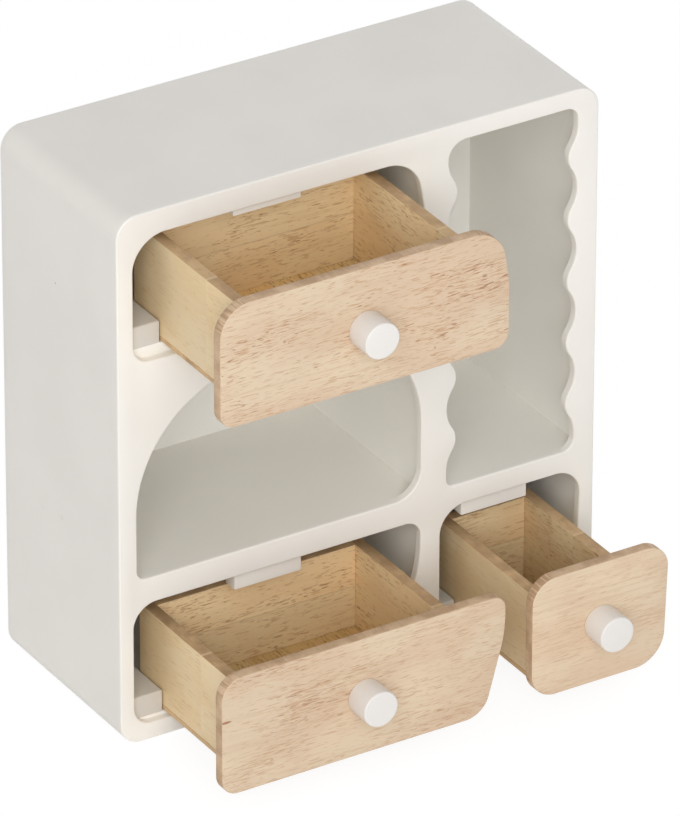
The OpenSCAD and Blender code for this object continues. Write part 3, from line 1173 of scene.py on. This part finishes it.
    def board(self, board: Board) -> Object:
        """A board of the drawer's box.

        Args:
            board: How it is dressed.

        Returns:
            The piece.
        """
        node = f"{self.name}_{board.part}"
        mesh = box_mesh(*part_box(node))
        soften(mesh, self.board_edge_mm * MM)
        piece = new_piece(f"{node}_wood", mesh)
        sheet = board.thick is Axis.Z
        woods = (self.sheet_wood,) * 2 if sheet else (self.outer_wood, self.inner_wood)
        tone = self.looks.sheet_tone if sheet else self.looks.box_tone
        outer, inner = (replace(wood, tone=tone) for wood in woods)
        seed = self.seed * self.SEEDS_EACH + board.number
        pattern = board.grain, board.staves, seed
        materials = (
            outer.make(f"{piece.name}_outside", *pattern),
            self.board_edge.make(f"{piece.name}_edge", *pattern),
            inner.make(f"{piece.name}_inside", *pattern),
        )

        def slot_of(normal: Vector) -> int:
            if abs(normal[board.thick.value]) < self.FACE_LIMIT:
                return 1
            return 0 if normal.dot(board.outward) > 0 else 2

        dress(piece, materials, slot_of)
        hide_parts(node)
        return piece

    def knob(self) -> Object:
        """The turned knob with its rounded face edge and blind screw hole."""
        node = f"{self.name}_knob"
        centre, radius, length = turned_place(node)
        edge, foot = self.knob_edge_mm * MM, self.knob_foot_mm * MM
        hole, depth = self.knob_hole_mm * MM, self.knob_hole_depth_mm * MM
        low, high = (radius - foot, foot), (radius - edge, length - edge)
        profile = [(0.0, depth), (hole, depth), (hole, 0.0), (radius - foot, 0.0)]
        profile += arc_profile(low, foot, -90, 0, self.knob_foot_steps)[1:]
        profile += arc_profile(high, edge, 0, 90, self.knob_edge_steps)
        profile.append((0.0, length))
        piece = new_piece(f"{node}_turned", lathe(profile, centre, self.knob_steps))
        dress(piece, (self.knob_paint.make(f"{node}_white"),))
        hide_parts(node)
        return piece

    def screw(self) -> Object:
        """The knob's pan head screw, with a cross recess in its head."""
        node = f"{self.name}_knob_screw"
        centre, head_r, length = turned_place(node)
        head_h, shank = self.head_h_mm * MM, self.shank_mm * MM
        edge, steps = self.head_edge_mm * MM, self.head_edge_steps
        profile = [(0.0, 0.0)]
        profile += arc_profile((head_r - edge, edge), edge, -90, 0, steps)
        profile += [(head_r, head_h), (shank, head_h), (shank, length - shank / 2)]
        profile += [(shank / 2, length), (0.0, length)]
        mesh = lathe(profile, centre, self.screw_steps)
        self.cross.sink(mesh, centre)
        piece = new_piece(f"{node}_steel", mesh)
        dress(piece, (self.steel.make(f"{node}_zinc"),))
        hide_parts(node)
        return piece


# -------------------------- studio


@dataclass
class Studio:
    """White floor and world, soft light, and the camera.

    Lengths with no unit in their names are in metres, and a lamp's place is
    given from the target.

    Args:
        azimuth: Camera's bearing, in degrees from straight in front.
        elevation: Camera's height above the horizon, in degrees.
        roll: Camera's turn round its view, in degrees.
        target_mm: What the camera and the lamps look at.
    """

    azimuth: float = -31.52
    elevation: float = 29.32
    roll: float = 0.11
    distance_mm: float = 4622.0
    target_mm: Point = (20.2, -1.0, 108.35)
    focal_px: float = 10205.0
    frame_px: tuple[int, int] = (680, 816)
    sensor_mm: float = 36.0
    view_end: float = 100.0
    floor_size: float = 30.0
    floor_colour: Colour = (0.86, 0.86, 0.86)
    floor_roughness: float = 0.9
    floor_glow: float = 1.10
    floor_share: float = 0.82
    sky: float = 0.44
    key_power: float = 68.0
    key_from: Point = (-1.4, -2.6, 1.35)
    key_size: float = 2.4
    back_power: float = 20.0
    back_from: Point = (1.9, 2.7, 0.5)
    back_size: float = 2.2

    def build(self) -> None:
        """Builds the camera, the floor, the world and the lamps."""
        self.camera()
        self.floor()
        self.world()
        self.lamp("key", self.key_from, self.key_size, self.key_power)
        self.lamp("back", self.back_from, self.back_size, self.back_power)

    def camera(self) -> None:
        """The camera at the computed place, its lens for the frame's width."""
        az, el, roll = map(math.radians, (self.azimuth, self.elevation, self.roll))
        level = math.cos(el)
        back = Vector((math.sin(az) * level, -math.cos(az) * level, math.sin(el)))
        right = Vector((math.cos(az), math.sin(az), 0.0))
        up = back.cross(right)
        turned_right = right * math.cos(roll) + up * math.sin(roll)
        turned_up = up * math.cos(roll) - right * math.sin(roll)
        data = bpy.data.cameras.new("camera")
        data.sensor_fit = "HORIZONTAL"
        data.sensor_width = self.sensor_mm
        data.lens = self.focal_px * self.sensor_mm / self.frame_px[0]
        data.clip_end = self.view_end
        camera = bpy.data.objects.new("camera", data)
        place = (Vector(self.target_mm) + back * self.distance_mm) * MM
        turn = Matrix((turned_right, turned_up, back)).transposed().to_4x4()
        camera.matrix_world = Matrix.Translation(place) @ turn
        bpy.context.scene.collection.objects.link(camera)
        bpy.context.scene.camera = camera

    def floor(self) -> None:
        """A plain white floor that keeps a faint shadow."""
        mesh = bmesh.new()
        half = self.floor_size / 2
        bmesh.ops.create_grid(mesh, x_segments=1, y_segments=1, size=half)
        floor = new_piece("floor", mesh)
        shader = Shader.of("floor_white")
        colour = (*self.floor_colour, 1.0)
        inputs = {"Base Color": colour, "Roughness": self.floor_roughness}
        plain = shader.node("BsdfPrincipled", inputs)["BSDF"]
        glow = shader.node("Emission", {"Strength": self.floor_glow})[0]
        inputs = {0: self.seen(shader) * self.floor_share, 1: plain, 2: glow}
        mixed = shader.node("MixShader", inputs)[0]
        shader.node("OutputMaterial", {"Surface": mixed})
        dress(floor, (shader.owner,))

    def world(self) -> None:
        """A white world that lights the object at a plain level."""
        world = bpy.data.worlds.new("white")
        bpy.context.scene.world = world
        shader = Shader(world)
        inputs = {"Value": self.seen(shader), "To Min": self.sky, "To Max": 1.0}
        level = shader.node("MapRange", inputs)["Result"]
        inputs = {"Color": (1.0, 1.0, 1.0, 1.0), "Strength": level}
        glow = shader.node("Background", inputs)["Background"]
        shader.node("OutputWorld", {"Surface": glow})

    @staticmethod
    def seen(shader: Shader) -> Value:
        """1 for rays from the camera and for mirror and glass rays."""
        path = shader.node("LightPath")
        seen = shader.math("MAXIMUM", path["Is Camera Ray"], path["Is Glossy Ray"])
        return shader.math("MAXIMUM", seen, path["Is Transmission Ray"])

    def lamp(self, name: str, start: Point, size: float, power: float) -> None:
        """A square soft lamp that looks at the target from a place beside it."""
        data = bpy.data.lights.new(name, "AREA")
        data.size = size
        data.energy = power
        lamp = bpy.data.objects.new(name, data)
        place = Vector(self.target_mm) * MM + Vector(start)
        look = (-Vector(start)).to_track_quat("-Z", "Y")
        lamp.matrix_world = Matrix.Translation(place) @ look.to_matrix().to_4x4()
        bpy.context.scene.collection.objects.link(lamp)


# ---------------------------- main

LOOKS = {
    "upper": Looks(
        seams_mm=(-86.0, -99.0),
        knots=(
            Mark((-83.0, -123.2, 230.0), (0.9, 3.0, 0.9), 0.55),
            Mark((-6.0, -123.2, 205.0), (0.8, 3.0, 0.8), 0.45),
        ),
        crowds=(
            Mark((10.0, -123.2, 233.0), (36.0, 4.0, 13.0), 0.22),
            Mark((-6.0, -123.2, 214.0), (16.0, 4.0, 8.0), 0.18),
        ),
        front_tone=0.97,
        front_vessels=0.56,
        front_pores=0.72,
        box_tone=1.03,
        sheet_tone=1.22,
    ),
    "lower": Looks(
        seams_mm=(-80.0, -97.0),
        knots=(
            Mark((-114.5, -125.2, 48.0), (3.2, 3.0, 0.8), 0.85),
            Mark((-91.0, -125.2, 21.6), (1.1, 3.0, 0.8), 0.35),
        ),
        crowds=(Mark((-62.0, -125.2, 50.0), (46.0, 4.0, 11.0), 0.13),),
        front_tone=0.96,
        front_vessels=0.50,
        front_pores=0.50,
        box_tone=1.03,
        sheet_tone=0.92,
    ),
    "small": Looks(
        seams_mm=(-300.0, -75.0),
        knots=(),
        crowds=(),
        front_tone=1.00,
        front_vessels=0.36,
        front_pores=0.22,
        box_tone=0.92,
        sheet_tone=0.82,
    ),
}


def main() -> None:
    """Builds the scene in order and reports each piece."""
    logging.basicConfig(level=logging.INFO, format="%(name)s: %(message)s")
    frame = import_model()
    Studio().build()
    pieces = Casing(frame["nodes"]).build()
    for seed, (name, looks) in enumerate(LOOKS.items(), start=1):
        pieces += Drawer(name, frame["nodes"], seed, looks).build()
    LOG.info("%d pieces in all", len(pieces))
    bpy.context.scene.view_settings.view_transform = "Standard"


if __name__ == "__main__":
    main()
